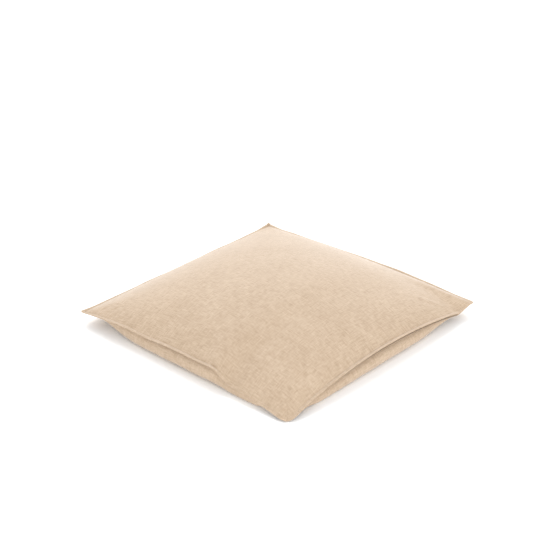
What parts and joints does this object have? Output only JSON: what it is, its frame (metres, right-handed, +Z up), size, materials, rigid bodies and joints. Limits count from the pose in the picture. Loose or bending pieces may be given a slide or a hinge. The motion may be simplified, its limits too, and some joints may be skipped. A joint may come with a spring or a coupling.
{
  "type": "floor cushion",
  "caption": "Square linen floor cushion with a narrow stitched flange, a zipped removable cover and a soft feather-and-fibre pad.",
  "frame": {"origin": "centre of the cushion's footprint, on the plane it rests on", "axes": "+X along the zip side, -Y towards the zip side, +Z up through the crown"},
  "size_m": [0.65, 0.65, 0.1192],
  "materials": {
    "linen_top": "washed plain-weave linen with slubs, matte",
    "linen_bottom": "washed plain-weave linen with slubs, matte",
    "linen_facing": "folded self-linen, matte",
    "linen_thread": "twisted polyester thread, slight sheen",
    "zip_tape": "woven polyester herringbone tape, matte",
    "zip_coil": "nylon monofilament coil, satin",
    "zip_metal": "zinc alloy lacquered to match the cloth, satin",
    "label_satin": "blank satin label tape",
    "pad_cotton": "tightly woven downproof cotton, matte",
    "cotton_thread": "twisted cotton thread, matte",
    "filling": "loose feather and fibre"
  },
  "bodies": {
    "cushion": {"top_panel": "linen_top", "bottom_panel": "linen_bottom", "front_flange_facing": "linen_facing", "lower_zip_facing": "linen_facing", "topstitch_front": "linen_thread", "topstitch_back": "linen_thread", "topstitch_left": "linen_thread", "topstitch_right": "linen_thread", "end_tack_left": "linen_thread", "end_tack_right": "linen_thread", "zip_tape_upper": "zip_tape", "zip_tape_lower": "zip_tape", "zip_coil_upper": "zip_coil", "zip_coil_lower": "zip_coil", "zip_top_stops": "zip_metal", "zip_bottom_stop": "zip_metal", "care_label": "label_satin", "pad_case_top": "pad_cotton", "pad_case_bottom": "pad_cotton", "pad_seam_thread": "cotton_thread", "pad_label": "label_satin", "pad_filling": "filling"},
    "zip_slider": {"zip_slider": "zip_metal"},
    "zip_pull": {"zip_pull_tab": "zip_metal"}
  },
  "joints": [
    {"name": "zip_run", "type": "hinge", "parent": "cushion", "child": "zip_slider", "pos_m": [0.01565, -0.6585, -1.40216], "axis": [-0.0026, -0.9718, 0.2356], "range_deg": [0, 17.87]},
    {"name": "pull_swing", "type": "hinge", "parent": "zip_slider", "child": "zip_pull", "pos_m": [0.23022, -0.31334, 0.02416], "axis": [-0.14, 0.0028, -0.9901], "range_deg": [0, 180]}
  ]
}
